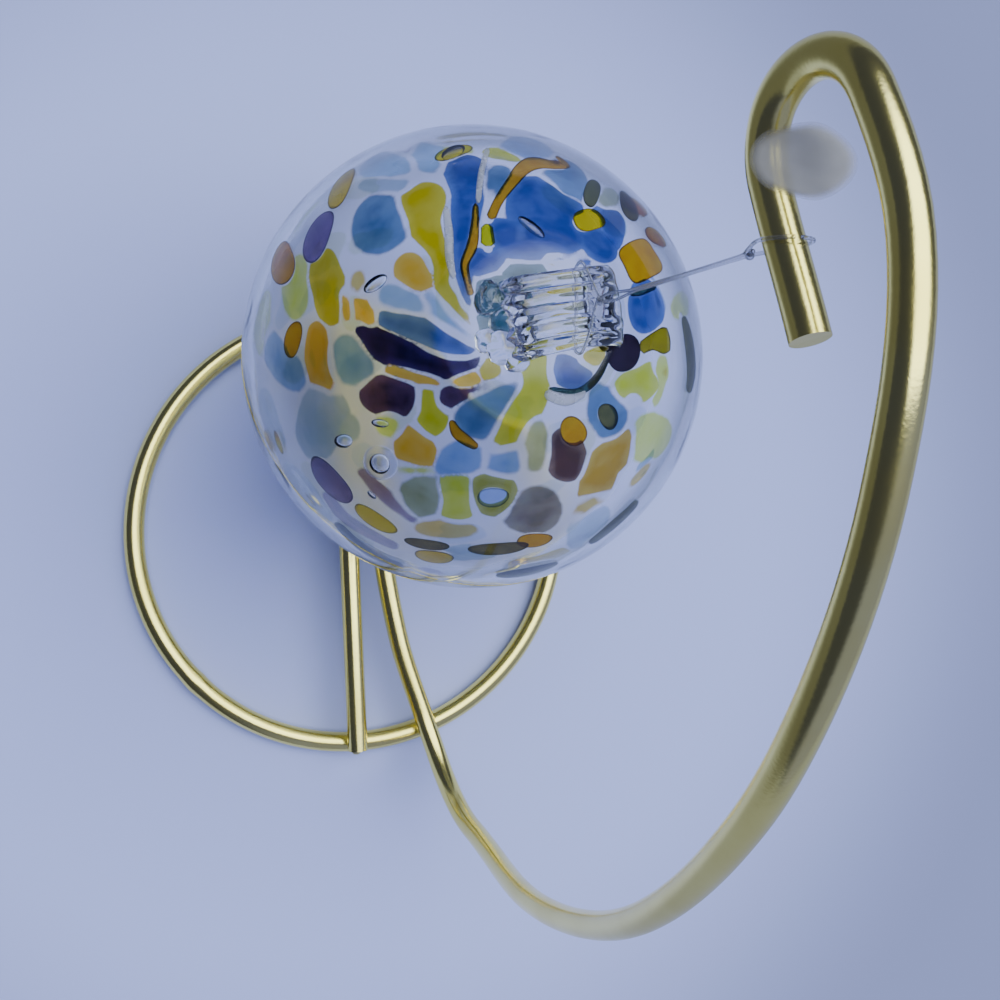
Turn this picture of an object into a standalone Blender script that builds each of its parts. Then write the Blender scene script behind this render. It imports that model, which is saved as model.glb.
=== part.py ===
"""Blown-glass ball ornament with a ribbed glass hanging loop, on a bent-wire stand.

The stand is a wire ring, a straight bar laid across it, and a long arm that lies low over
the ring, sweeps up in a C and ends in a hook.  The ball hangs under the hook on a thin line.
Metres, +Z up.  The origin is the middle of the underside of the whole piece.
"""

import math

import bmesh
import bpy
from mathutils import Vector

MM = 0.001
GAP = 0.3 * MM                      # clearance between neighbouring pieces

# ---- the stand's wire -------------------------------------------------------------------
WIRE_RADIUS = 2.0 * MM
WIRE_SIDES = 12
RING_RADIUS = 42.0 * MM             # to the middle of the ring's wire
RING_STEPS = 64
RING_CENTRE = Vector((-1.7 * MM, -3.75 * MM, 0.0))   # keeps the whole piece centred
RAISED = 3.0 * WIRE_RADIUS + GAP    # middle height of a wire that lies on the ring

BAR_FAR_SIDE = -3.6 * MM            # the bar's far end is off the middle line by this
BAR_OVERHANG = 0.9 * MM             # the bar's ends pass the middle of the ring's wire by this

# ---- the arm, as a bender's list: straight runs and arcs, from the foot to the tip --------
ARM_START_Y = 41.1 * MM
FOOT_RUN = 76.5 * MM
ARM_ARCS = (                        # radius, sweep in degrees
    (20.0 * MM, 81.0),              # the turn up at the table
    (156.0 * MM, 48.0),             # the long back of the C
    (65.0 * MM, 39.0),              # the shoulder
    (45.6 * MM, 34.0),              # over the top
    (7.1 * MM, 174.0),              # the hook
)
TIP_RUN = 14.9 * MM
ARM_SWAY = (                        # fraction of the wire's length, sideways offset
    (0.00, 3.5 * MM), (0.10, 3.7 * MM), (0.18, 8.0 * MM), (0.25, 15.4 * MM),
    (0.32, 18.6 * MM), (0.42, 17.1 * MM), (0.52, 16.1 * MM), (0.62, 13.6 * MM),
    (0.72, 11.9 * MM), (0.80, 12.9 * MM), (0.86, 13.7 * MM), (0.90, 11.9 * MM),
    (0.94, 10.0 * MM), (1.00, 12.1 * MM),
)
GENTLE_STEP = 6.0 * MM              # spacing of the arm's points on straight and gentle runs
TIGHT_STEP = math.radians(10.0)     # largest turn between two points in a tight bend

# ---- the ball and its loop -----------------------------------------------------------------
BALL_RADIUS = 37.0 * MM
BALL_CENTRE = Vector((10.3 * MM, 29.5 * MM, 53.5 * MM))
BALL_SEGMENTS, BALL_RINGS = 52, 28
BALL_TOP = BALL_CENTRE.z + BALL_RADIUS

LOOP_CENTRE = Vector((12.1 * MM, 32.4 * MM, BALL_TOP))
LOOP_TURN = math.radians(9.0)       # the arch's plane, from the XZ plane
LOOP_ALONG = Vector((math.cos(LOOP_TURN), math.sin(LOOP_TURN), 0.0))
LOOP_ACROSS = Vector((-math.sin(LOOP_TURN), math.cos(LOOP_TURN), 0.0))
LOOP_HALF_SPAN = 6.6 * MM           # middle of the strap at its feet
LOOP_RISE = 8.2 * MM                # middle of the strap at its crown, over the ball's top
LOOP_ROOT = 2.8 * MM                # how deep the feet run into the ball
STRAP_HALF_WIDTH = 5.2 * MM
STRAP_HALF_THICK = 1.55 * MM
STRAP_RIBS = 5
RIB_HEIGHT = 0.35 * MM
STRAP_STATIONS = 19
STRAP_POINTS = 24                   # around the strap's section
FOOT_BLOB = Vector((2.8 * MM, 5.4 * MM, 2.6 * MM))
FOOT_BLOB_OUT = 1.0 * MM            # how far the blob's middle lies outside the strap's foot

# ---- the line and its tab ------------------------------------------------------------------
LINE_RADIUS = 0.2 * MM
HOOK_POINT = Vector((10.9 * MM, 31.2 * MM, 154.25 * MM))   # middle of the hook wire there
LINE_CLEAR = WIRE_RADIUS + GAP + LINE_RADIUS
KNOT_RISE = 6.0 * MM                # where the two strands come together over the loop
STRAND_APART = 0.36 * MM            # half the distance between the strands above that

TAB_CENTRE = Vector((12.0 * MM, 38.1 * MM, 156.1 * MM))
TAB_LENGTH = 10.0 * MM
TAB_WIDTH = 6.8 * MM
TAB_THICK = 0.7 * MM


def clear_scene():
    """Remove whatever the file holds."""
    for old in list(bpy.data.objects):
        bpy.data.objects.remove(old, do_unlink=True)


def make_material(name, colour, roughness, metallic=0.0, alpha=1.0):
    """A plain Principled material for one sub-part."""
    material = bpy.data.materials.new(name)
    material.use_nodes = True
    shader = material.node_tree.nodes["Principled BSDF"]
    shader.inputs["Base Color"].default_value = (*colour, 1.0)
    shader.inputs["Roughness"].default_value = roughness
    shader.inputs["Metallic"].default_value = metallic
    shader.inputs["Alpha"].default_value = alpha
    material.diffuse_color = (*colour, alpha)
    return material


def add_piece(name, data, material, collection, stand):
    """Put a mesh or curve in the collection as a child of the stand's empty."""
    piece = bpy.data.objects.new(name, data)
    data.materials.append(material)
    collection.objects.link(piece)
    piece.parent = stand
    return piece


def smooth(mesh, angle=40.0):
    """Shade a mesh smooth except over sharp edges."""
    mesh.shade_smooth()
    mesh.set_sharp_from_angle(angle=math.radians(angle))


def mesh_from(builder):
    """A new mesh from a bmesh that the builder fills."""
    form = bmesh.new()
    builder(form)
    bmesh.ops.recalc_face_normals(form, faces=form.faces)
    mesh = bpy.data.meshes.new("form")
    form.to_mesh(mesh)
    form.free()
    return mesh


def catmull_rom(table, position):
    """Smooth value of a (position, value) table at a position."""
    last = len(table) - 1
    index = next((i for i in range(last) if position <= table[i + 1][0]), last - 1)
    (t0, v0), (t1, v1) = table[index], table[index + 1]
    before, after = table[max(index - 1, 0)], table[min(index + 2, last)]
    slope0 = (v1 - before[1]) / (t1 - before[0])
    slope1 = (after[1] - v0) / (after[0] - t0)
    span = t1 - t0
    u = (position - t0) / span
    return ((2 * u**3 - 3 * u**2 + 1) * v0 + (u**3 - 2 * u**2 + u) * span * slope0
            + (3 * u**2 - 2 * u**3) * v1 + (u**3 - u**2) * span * slope1)


def arm_route():
    """Points along the middle of the arm's wire, in the ring's frame."""
    flat = [(ARM_START_Y, RAISED)]
    heading = 0.0                   # climb angle; the wire sets out towards -Y

    def run(length):
        y, z = flat[-1]
        steps = max(2, round(length / GENTLE_STEP))
        for step in range(1, steps + 1):
            part = length * step / steps
            flat.append((y - part * math.cos(heading), z + part * math.sin(heading)))

    def arc(radius, sweep):
        y, z = flat[-1]
        middle_y = y + radius * math.sin(heading)
        middle_z = z + radius * math.cos(heading)
        steps = math.ceil(max(sweep / TIGHT_STEP, radius * sweep / GENTLE_STEP))
        for step in range(1, steps + 1):
            turn = heading + sweep * step / steps
            flat.append((middle_y - radius * math.sin(turn), middle_z - radius * math.cos(turn)))

    run(FOOT_RUN)
    for radius, degrees in ARM_ARCS:
        arc(radius, math.radians(degrees))
        heading += math.radians(degrees)
    run(TIP_RUN)

    travelled = [0.0]
    for (y0, z0), (y1, z1) in zip(flat, flat[1:]):
        travelled.append(travelled[-1] + math.hypot(y1 - y0, z1 - z0))
    return [Vector((catmull_rom(ARM_SWAY, done / travelled[-1]), y, z))
            for (y, z), done in zip(flat, travelled)]


def wire_curve(name, points, radius, resolution):
    """A round wire with capped ends along the points."""
    curve = bpy.data.curves.new(name, "CURVE")
    curve.dimensions = "3D"
    curve.bevel_depth = radius
    curve.bevel_resolution = resolution
    curve.use_fill_caps = True
    spline = curve.splines.new("POLY")
    spline.points.add(len(points) - 1)
    for knot, place in zip(spline.points, points):
        knot.co = (*place, 1.0)
    return curve


def make_ring(collection, stand, plating):
    """The closed foot ring: a twelve-sided section with one flat face down, turned round."""
    def section(form):
        half_step = math.pi / WIRE_SIDES
        flat_reach = WIRE_RADIUS * math.cos(half_step)   # from the middle to a flat side
        corners = []
        for side in range(WIRE_SIDES):
            angle = half_step - 2 * math.pi * side / WIRE_SIDES
            corners.append(form.verts.new((RING_RADIUS + WIRE_RADIUS * math.cos(angle), 0.0,
                                           flat_reach + WIRE_RADIUS * math.sin(angle))))
        for one, two in zip(corners, corners[1:] + corners[:1]):
            form.edges.new((one, two))

    ring = add_piece("base_ring", mesh_from(section), plating, collection, stand)
    turn = ring.modifiers.new("turn", "SCREW")
    turn.axis = "Z"
    turn.angle = 2 * math.pi
    turn.steps = RING_STEPS
    turn.render_steps = RING_STEPS
    turn.use_merge_vertices = True
    turn.merge_threshold = 0.00001
    turn.use_smooth_shade = True
    return ring


def make_bar(collection, stand, plating):
    """The straight wire across the ring, lying on top of it."""
    reach = RING_RADIUS + BAR_OVERHANG
    near = Vector((0.0, -reach, RAISED))
    far = Vector((BAR_FAR_SIDE, reach, RAISED))

    def rod(form):
        bmesh.ops.create_cone(form, cap_ends=True, segments=WIRE_SIDES, radius1=WIRE_RADIUS,
                              radius2=WIRE_RADIUS, depth=(far - near).length)

    bar = add_piece("cross_bar", mesh_from(rod), plating, collection, stand)
    bar.location = (near + far) / 2
    bar.rotation_mode = "QUATERNION"
    bar.rotation_quaternion = Vector((0, 0, 1)).rotation_difference(far - near)
    edge = bar.modifiers.new("ends", "BEVEL")
    edge.width = 0.35 * MM
    edge.segments = 1
    edge.limit_method = "ANGLE"
    edge.angle_limit = math.radians(60)
    smooth(bar.data)
    return bar


def make_arm(collection, stand, plating):
    """The long bent wire from the ring's far side to the hook's tip."""
    curve = wire_curve("arm_wire", arm_route(), WIRE_RADIUS, 4)
    return add_piece("arm_wire", curve, plating, collection, stand)


def loop_station(part):
    """Middle and outward direction of the loop's strap at a part from 0 to 1 of its arch."""
    angle = math.pi * (1.0 - part)
    foot = max(0.0, 1.0 - min(part, 1.0 - part) * STRAP_STATIONS) * LOOP_ROOT
    up = Vector((0, 0, 1))
    middle = (LOOP_CENTRE + LOOP_ALONG * LOOP_HALF_SPAN * math.cos(angle)
              + up * (LOOP_RISE * math.sin(angle) - foot))
    outward = LOOP_ALONG * (math.cos(angle) / LOOP_HALF_SPAN) + up * (math.sin(angle) / LOOP_RISE)
    return middle, outward.normalized()


def make_strap(form):
    """The ribbed strap: a rounded flat section swept over the arch."""
    rings = []
    for station in range(STRAP_STATIONS):
        middle, outward = loop_station(station / (STRAP_STATIONS - 1))
        ring = []
        for point in range(STRAP_POINTS):
            angle = 2 * math.pi * point / STRAP_POINTS
            across = math.copysign(abs(math.cos(angle)) ** 0.6, math.cos(angle))
            thick = math.copysign(abs(math.sin(angle)) ** 0.6, math.sin(angle))
            rib = 0.0
            if thick > 0.5:
                rib = RIB_HEIGHT * 0.5 * (1 + math.cos(STRAP_RIBS * math.pi * across))
            place = (middle + LOOP_ACROSS * across * STRAP_HALF_WIDTH
                     + outward * (thick * STRAP_HALF_THICK + rib))
            ring.append(form.verts.new(place))
        rings.append(ring)
    for one, two in zip(rings, rings[1:]):
        for point in range(STRAP_POINTS):
            after = (point + 1) % STRAP_POINTS
            form.faces.new((one[point], one[after], two[after], two[point]))
    form.faces.new(rings[0])
    form.faces.new(rings[-1])


def make_ball(collection, cutters, stand, glass):
    """The ball with its strap and the thick blob at the strap's first foot, as one body."""
    def ball_form(form):
        bmesh.ops.create_uvsphere(form, u_segments=BALL_SEGMENTS, v_segments=BALL_RINGS,
                                  radius=BALL_RADIUS)
        bmesh.ops.translate(form, verts=form.verts, vec=BALL_CENTRE)

    def blob_form(form):
        bmesh.ops.create_uvsphere(form, u_segments=14, v_segments=8, radius=1.0)
        bmesh.ops.scale(form, verts=form.verts, vec=FOOT_BLOB)
        bmesh.ops.translate(form, verts=form.verts,
                            vec=LOOP_CENTRE - LOOP_ALONG * (LOOP_HALF_SPAN + FOOT_BLOB_OUT))

    ball = add_piece("glass_ball", mesh_from(ball_form), glass, collection, stand)
    for name, builder in (("loop_strap", make_strap), ("loop_foot", blob_form)):
        fused = add_piece(name, mesh_from(builder), glass, cutters, stand)
        fused.hide_render = True
        fused.display_type = "WIRE"
        join = ball.modifiers.new(name, "BOOLEAN")
        join.operation = "UNION"
        join.solver = "EXACT"
        join.object = fused
    ball.data.shade_smooth()
    return ball


def line_route():
    """The line: down from the top of the hook, through the loop's eye, and back up."""
    crown, _ = loop_station(0.5)
    under = crown.z - STRAP_HALF_THICK - GAP - LINE_RADIUS
    side = STRAP_HALF_WIDTH + GAP + LINE_RADIUS + 0.2 * MM
    spread = LINE_CLEAR + 0.1 * MM
    tie = HOOK_POINT - Vector((0, 0, 7.5 * MM))
    knot = Vector((crown.x, crown.y, crown.z + STRAP_HALF_THICK + KNOT_RISE))

    def strand(sign):
        """From the top of the hook down to the side of the strap."""
        return [
            HOOK_POINT + Vector((sign * 0.35 * MM, 0.0, 1.04 * spread)),
            HOOK_POINT + Vector((sign * 0.71 * spread, 0.0, 0.75 * spread)),
            HOOK_POINT + Vector((sign * spread, 0.0, 0.0)),
            HOOK_POINT + Vector((sign * 0.55 * spread, 0.0, -4 * MM)),
            tie + Vector((sign * STRAND_APART, 0.0, 0.0)),
            knot.lerp(tie, 0.3) + Vector((sign * STRAND_APART, 0.0, 0.0)),
            knot + Vector((sign * STRAND_APART, 0.0, 0.0)),
            Vector((crown.x, crown.y + sign * 0.62 * side, crown.z + 3.6 * MM)),
            Vector((crown.x, crown.y + sign * side, crown.z + 0.6 * MM)),
            Vector((crown.x, crown.y + sign * 0.86 * side, under + 0.1 * MM)),
            Vector((crown.x, crown.y + sign * 0.45 * side, under)),
        ]

    return strand(-1) + strand(1)[::-1]


def rounded(points, step):
    """Points read every step or so from a smooth curve through the route's points."""
    ends = [2 * points[0] - points[1], *points, 2 * points[-1] - points[-2]]
    out = [points[0]]
    for before, here, there, after in zip(ends, ends[1:], ends[2:], ends[3:]):
        span = (there - here).length
        slope0 = (there - before) * (span / ((there - here).length + (here - before).length))
        slope1 = (after - here) * (span / ((there - here).length + (after - there).length))
        pieces = max(1, round(span / step))
        for piece in range(1, pieces + 1):
            u = piece / pieces
            out.append((2 * u**3 - 3 * u**2 + 1) * here + (u**3 - 2 * u**2 + u) * slope0
                       + (3 * u**2 - 2 * u**3) * there + (u**3 - u**2) * slope1)
    return out


def make_line(collection, stand, nylon):
    """The thin line as one open run, its two ends meeting on top of the hook."""
    curve = wire_curve("hang_line", rounded(line_route(), 2.2 * MM), LINE_RADIUS, 2)
    return add_piece("hang_line", curve, nylon, collection, stand)


def make_tab(collection, stand, film):
    """The folded oval tab that lies over the hook wire and stands out into the hook."""
    def oval(form):
        bmesh.ops.create_cone(form, cap_ends=True, segments=24, radius1=0.5, radius2=0.5,
                              depth=1.0)
        bmesh.ops.scale(form, verts=form.verts, vec=(TAB_LENGTH, TAB_WIDTH, TAB_THICK))

    tab = add_piece("line_tab", mesh_from(oval), film, collection, stand)
    tab.location = TAB_CENTRE
    tab.rotation_euler = (0.0, math.radians(-4.0), 0.0)
    smooth(tab.data)
    return tab


def main():
    clear_scene()
    collection = bpy.data.collections.new("glass_ball_on_wire_stand")
    cutters = bpy.data.collections.new("fused_forms")
    for group in (collection, cutters):
        bpy.context.scene.collection.children.link(group)
    stand = bpy.data.objects.new("stand_frame", None)
    stand.location = RING_CENTRE
    collection.objects.link(stand)

    plating = make_material("brass_plating", (0.78, 0.72, 0.52), 0.22, metallic=1.0)
    glass = make_material("clear_glass", (0.72, 0.80, 0.86), 0.02, alpha=0.35)
    nylon = make_material("clear_nylon", (0.80, 0.82, 0.84), 0.25, alpha=0.6)
    film = make_material("clear_film", (0.62, 0.63, 0.65), 0.45, alpha=0.6)

    make_ring(collection, stand, plating)
    make_bar(collection, stand, plating)
    make_arm(collection, stand, plating)
    make_ball(collection, cutters, stand, glass)
    make_line(collection, stand, nylon)
    make_tab(collection, stand, film)


main()
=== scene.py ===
"""Looks of a blown-glass ball ornament that hangs by a ribbed glass loop from a bent-wire stand.

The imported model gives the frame.  This script makes the finished surfaces around it: the
plated wires with their brazed joints, the hollow ball with its chips and threads of coloured
glass, the loop, the line with its knots, and the film tab.  Metres, +Z up.
"""

import math
import random

import bmesh
import bpy
import numpy as np
from mathutils import Euler, Matrix, Vector, noise


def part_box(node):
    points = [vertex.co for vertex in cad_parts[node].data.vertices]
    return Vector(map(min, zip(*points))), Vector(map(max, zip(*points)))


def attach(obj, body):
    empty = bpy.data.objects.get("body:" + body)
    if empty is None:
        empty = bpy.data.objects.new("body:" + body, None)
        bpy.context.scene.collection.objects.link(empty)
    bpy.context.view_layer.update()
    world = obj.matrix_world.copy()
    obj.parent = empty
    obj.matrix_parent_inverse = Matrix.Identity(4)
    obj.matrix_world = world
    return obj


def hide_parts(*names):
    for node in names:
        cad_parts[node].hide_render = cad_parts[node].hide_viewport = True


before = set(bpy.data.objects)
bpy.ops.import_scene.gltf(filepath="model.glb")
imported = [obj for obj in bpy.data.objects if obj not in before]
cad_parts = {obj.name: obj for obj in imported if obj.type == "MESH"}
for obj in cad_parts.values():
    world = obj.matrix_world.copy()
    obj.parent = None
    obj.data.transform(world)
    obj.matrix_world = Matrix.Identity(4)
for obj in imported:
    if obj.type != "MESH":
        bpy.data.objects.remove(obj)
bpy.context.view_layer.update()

MM = 0.001
UP = Vector((0, 0, 1))


# ---- places read from the frame ----------------------------------------------
ring_low, ring_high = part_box("base_ring")
RING = Vector(((ring_low.x + ring_high.x) / 2, (ring_low.y + ring_high.y) / 2, 0.0))
WIRE = (ring_high.z - ring_low.z) / 2  # radius of the stand's wire
RING_RADIUS = (ring_high.x - ring_low.x) / 2 - WIRE

ball_low, ball_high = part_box("glass_ball")
BALL_RADIUS = (ball_high.x - ball_low.x) / 2
BALL = Vector(((ball_low.x + ball_high.x) / 2, (ball_low.y + ball_high.y) / 2,
               ball_low.z + BALL_RADIUS))
BALL_TOP = BALL.z + BALL_RADIUS
BALL_MM = BALL_RADIUS / MM

# ---- the stand's bends, as the frame has them --------------------------------
GAP = 0.3 * MM
RAISED = 6.3 * MM  # middle height of a wire that lies on the ring
BAR_FAR_SIDE = -3.6 * MM
BAR_OVERHANG = 0.9 * MM
ARM_START_Y = 41.1 * MM
FOOT_RUN = 76.5 * MM
ARM_ARCS = (  # radius in mm, sweep in degrees
    (20.0, 81.0),  # the turn up at the table
    (156.0, 48.0),  # the long back of the C
    (65.0, 39.0),  # the shoulder
    (45.6, 34.0),  # over the top
    (7.1, 174.0),  # the hook
)
TIP_RUN = 14.9 * MM
ARM_SWAY = (  # fraction of the wire's length, sideways offset in mm
    (0.00, 3.5), (0.10, 3.7), (0.18, 8.0), (0.25, 15.4), (0.32, 18.6), (0.42, 17.1), (0.52, 16.1),
    (0.62, 13.6), (0.72, 11.9), (0.80, 12.9), (0.86, 13.7), (0.90, 11.9), (0.94, 10.0), (1.00, 12.1)
)
RING_WELD = 2 * math.pi * 0.62  # the turn where the ring's ends were butt-welded
WELD_SWELL = 0.07  # the share by which the ring is thicker there
WELD_SPREAD = 0.035  # and the turn over which that fades

# ---- the loop and the line, as the frame has them ----------------------------
LOOP = RING + Vector((12.1 * MM, 32.4 * MM, BALL_TOP))
LOOP_TURN = math.radians(9)  # the arch's plane, from the XZ plane
LOOP_ALONG = Vector((math.cos(LOOP_TURN), math.sin(LOOP_TURN), 0))
LOOP_ACROSS = Vector((-math.sin(LOOP_TURN), math.cos(LOOP_TURN), 0))
LOOP_HALF_SPAN = 6.6 * MM
LOOP_RISE = 8.2 * MM
LOOP_ROOT = 2.8 * MM
STRAP_HALF_WIDTH = 5.2 * MM
STRAP_HALF_THICK = 1.55 * MM
LINE_RADIUS = 0.2 * MM
HOOK_POINT = RING + Vector((10.9 * MM, 31.2 * MM, 154.25 * MM))
KNOT_RISE = 6.0 * MM
STRAND_APART = 0.36 * MM
TAB = RING + Vector((12.3 * MM, 38.2 * MM, 155.5 * MM))
TAB_LENGTH = 10.0 * MM
TAB_WIDTH = 6.8 * MM

# ---- the ball's glass --------------------------------------------------------
WALL = 1.7 * MM
SKIN_RIPPLE = 0.05 * MM
GATHER_WAY = (115, 4)  # middle of the thick gather on top: azimuth, angle from the top
GATHER_RISE = 0.45 * MM
GATHER_LIP = (12.3, 14.2)  # mm from its middle: where it starts and ends to slope down
GATHER_DEPTH = 1.2 * MM  # how much further the gather reaches into the ball
GATHER_BELLY = (4.0, 14.0)  # the same slope inside
CHIP_RELIEF = 0.05 * MM
SKIN_STEPS = (180, 104)  # round the ball's skin and down it
FINE_WEAVE = 0.36  # mm between the points of the cavity's wall, over the chips
WEAVE_GROWTH = 0.84  # and how much more on the underside
OVAL = 2.2  # squareness of a chip's outline; 2 is an ellipse
SAME_SIDE = 0.3  # least cosine between a chip's middle and a point near it

# In mm:
CHIP_GAP = 0.44  # mean width of the clear glass between two neighbouring chips
CHIP_SPREAD = 0.35  # how far every chip spread as the ball was blown
SEALED_DEPTH = 0.85  # how deep in the wall the overlaid pieces lie
SEALED_HALF_THICK = 0.24
UNDERLAP = 0.35  # how far the chips reach under the edge of an overlaid piece
BUBBLE_DEPTH = 0.85
FLAT_BUBBLE_DEPTH = 1.3  # the same for a bubble that was pressed flat
FAR_OUTSIDE = -20.0  # stands for the distance to a chip on the ball's other side
NO_CHIP = -5.0  # and for the distance to any chip where the glass has none

GLASS_COLOURS = {  # the light that each glass lets through
    "steel": (0.06, 0.17, 0.30), "blue": (0.20, 0.38, 0.62), "sky": (0.27, 0.48, 0.60),
    "deep": (0.03, 0.085, 0.32), "navy": (0.004, 0.001, 0.03), "plum": (0.03, 0.008, 0.03),
    "wine": (0.11, 0.05, 0.035), "violet": (0.22, 0.13, 0.24), "mist": (0.46, 0.60, 0.66),
    "amber": (0.95, 0.52, 0.015), "bronze": (0.66, 0.40, 0.015), "straw": (0.78, 0.56, 0.06),
    "fern": (0.40, 0.42, 0.035), "olive": (0.70, 0.54, 0.004), "lime": (0.66, 0.66, 0.004),
    "pear": (0.74, 0.82, 0.03), "leaf": (0.80, 0.92, 0.09), "slate": (0.36, 0.42, 0.15),
    "moss": (0.13, 0.15, 0.03), "dusk": (0.20, 0.17, 0.11), "teal": (0.05, 0.14, 0.14),
    "ice": (0.78, 0.84, 0.90), "pale": (0.84, 0.88, 0.72),
}
BLURRED = ("blue", "sky", "mist", "leaf", "slate", "dusk", "violet", "steel", "straw", "ice",
           "pale")
BLURRED_EDGE, CRISP_EDGE = 0.22, 0.6  # how fast a chip's colour sets in at its edge
RUNNY = ("deep", "mist", "teal")  # chips of these colours run together where they meet

# Chips of coloured glass in the wall, by colour: azimuth, angle from the top, half length and half
# width in mm, turn of the length from the meridian
CHIPS = {
    "steel": ((141, 47, 5.4, 4.3, 160), (100, 38, 5.1, 2.2, 161), (74, 43, 6.4, 3.4, 171)),
    "blue": ((184, 66, 5.9, 2.9, 142), (187, 44, 4.0, 2.8, 124), (85, 55, 5.0, 3.4, 152),
             (256, 29, 2.7, 2.4, 7), (238, 33, 3.8, 2.4, 140)),
    "sky": ((164, 32, 3.7, 1.9, 176), (124, 62, 5.6, 3.2, 6), (114, 57, 4.8, 2.6, 163)),
    "deep": ((86, 33, 7.4, 5.0, 108), (107, 25, 2.6, 2.3, 137), (18, 30, 4.5, 3.4, 10),
             (312, 10, 3.4, 1.9, 33), (80, 24, 5.4, 2.6, 102), (55, 27, 3.4, 2.2, 120),
             (126, 21, 2.8, 1.8, 60), (98, 20, 3.4, 1.8, 95), (68, 19, 3.4, 1.2, 110),
             (56, 33, 6.0, 3.0, 164)),
    "teal": ((138, 14, 3.0, 2.6, 40), (104, 15, 3.2, 1.6, 90), (165, 11, 2.4, 1.8, 20)),
    "moss": ((45, 15, 3.8, 0.9, 145), (8, 12, 3.6, 0.9, 5)),
    "violet": ((116, 67, 4.0, 2.0, 169),),
    "mist": ((130, 55, 4.8, 1.6, 23), (202, 57, 6.2, 4.4, 25), (197, 76, 4.4, 3.0, 100),
             (294, 53, 5.6, 3.4, 172), (259, 58, 3.8, 2.2, 112), (217, 77, 5.6, 3.4, 100),
             (206, 50, 2.4, 1.7, 174)),
    "amber": ((153, 32, 3.2, 2.2, 154), (169, 46, 2.5, 1.3, 118), (171, 41, 2.8, 1.4, 133),
              (223, 38, 3.3, 2.9, 94), (197, 30, 3.6, 1.2, 150), (211, 19, 2.0, 1.1, 171)),
    "straw": ((162, 44, 2.0, 1.1, 109), (333, 27, 1.4, 1.2, 178), (349, 34, 1.7, 0.8, 12),
              (249, 52, 4.8, 1.8, 122), (316, 47, 2.2, 1.1, 95)),
    "olive": ((164, 52, 5.8, 2.9, 121), (212, 14, 1.6, 1.3, 148),
              (36, 8, 3.6, 1.1, 150), (72, 18, 2.6, 1.0, 112), (345, 14, 2.4, 1.0, 20)),
    "fern": ((257, 38, 4.0, 3.5, 32),),
    "lime": ((94, 50, 2.8, 1.6, 60), (214, 30, 3.5, 2.4, 58)),
    "pear": ((246, 42, 4.1, 2.9, 25), (340, 28, 4.8, 2.6, 33)),
    "leaf": ((165, 63, 4.8, 3.0, 118), (174, 75, 5.2, 2.6, 95), (15, 46, 3.9, 1.8, 13),
             (211, 40, 1.9, 1.6, 174), (229, 42, 2.4, 1.4, 142), (326, 41, 5.8, 3.6, 12)),
    "plum": ((202, 36, 4.5, 2.9, 150),),
    "wine": ((287, 28, 4.7, 2.7, 13),),
    "slate": ((270, 24, 4.2, 1.9, 8), (236, 46, 4.3, 3.2, 43), (58, 45, 3.4, 1.4, 170),
              (297, 81, 3.9, 1.7, 70), (321, 73, 4.3, 2.0, 78), (347, 66, 4.1, 1.9, 98)),
    "dusk": ((274, 42, 4.9, 4.1, 60),),
}

# Drawn-out chips and trails, by colour: the nodes along each are azimuth, angle from the top
# and half width in mm.
TRAILS = {
    "olive": (((127, 43, 3.5), (132, 39, 2.6), (135, 35, 1.8), (139, 30, 1.1), (144, 27, 1.0),
               (152, 25, 0.9), (158, 22, 0.8), (165, 19, 0.7), (172, 16, 0.3)),),
    "deep": (((108, 47, 3.0), (112, 39, 2.3), (120, 32, 1.8), (131, 26, 1.2), (141, 22, 0.9),
              (154, 18, 0.5)),
             ((173, 35, 1.4), (176, 29, 1.8), (181, 23, 1.8), (190, 17, 1.2))),
    "steel": (((238, 12, 1.1), (232, 15, 1.8), (231, 20, 2.5), (232, 23, 3.0)),
              ((319, 18, 1.4), (317, 22, 2.8), (317, 25, 3.2))),
    "sky": (((161, 27, 1.2), (170, 21, 1.1), (183, 16, 0.6)),),
    "navy": (((177, 40, 1.2), (182, 36, 2.1), (187, 31, 2.2), (194, 26, 1.7), (199, 21, 1.2),
              (200, 16, 0.8)),),
    "plum": (((213, 26, 1.4), (215, 22, 1.2), (220, 18, 0.9)),),
    "lime": (((259, 6, 2.0), (261, 13, 2.1), (255, 19, 2.0), (252, 23, 1.7), (251, 26, 0.9)),),
    "amber": (((178, 53, 1.7), (183, 53, 2.2), (188, 53, 2.3), (194, 51, 1.4)),),
    "bronze": (((318, 34, 1.5), (311, 35, 2.7), (303, 35, 3.4), (298, 40, 3.0)),),
    "straw": (((296, 43, 2.4), (293, 46, 2.0)), ((108, 62, 1.6), (99, 61, 1.8), (92, 60, 1.2))),
    "violet": (((218, 20, 0.9), (226, 15, 0.8), (237, 11, 0.4)),
               ((220, 53, 0.8), (226, 53, 1.2), (233, 53, 1.2), (239, 54, 0.6)),
               ((221, 69, 1.2), (226, 70, 1.6), (232, 69, 1.5), (240, 67, 1.2))),
}

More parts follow.
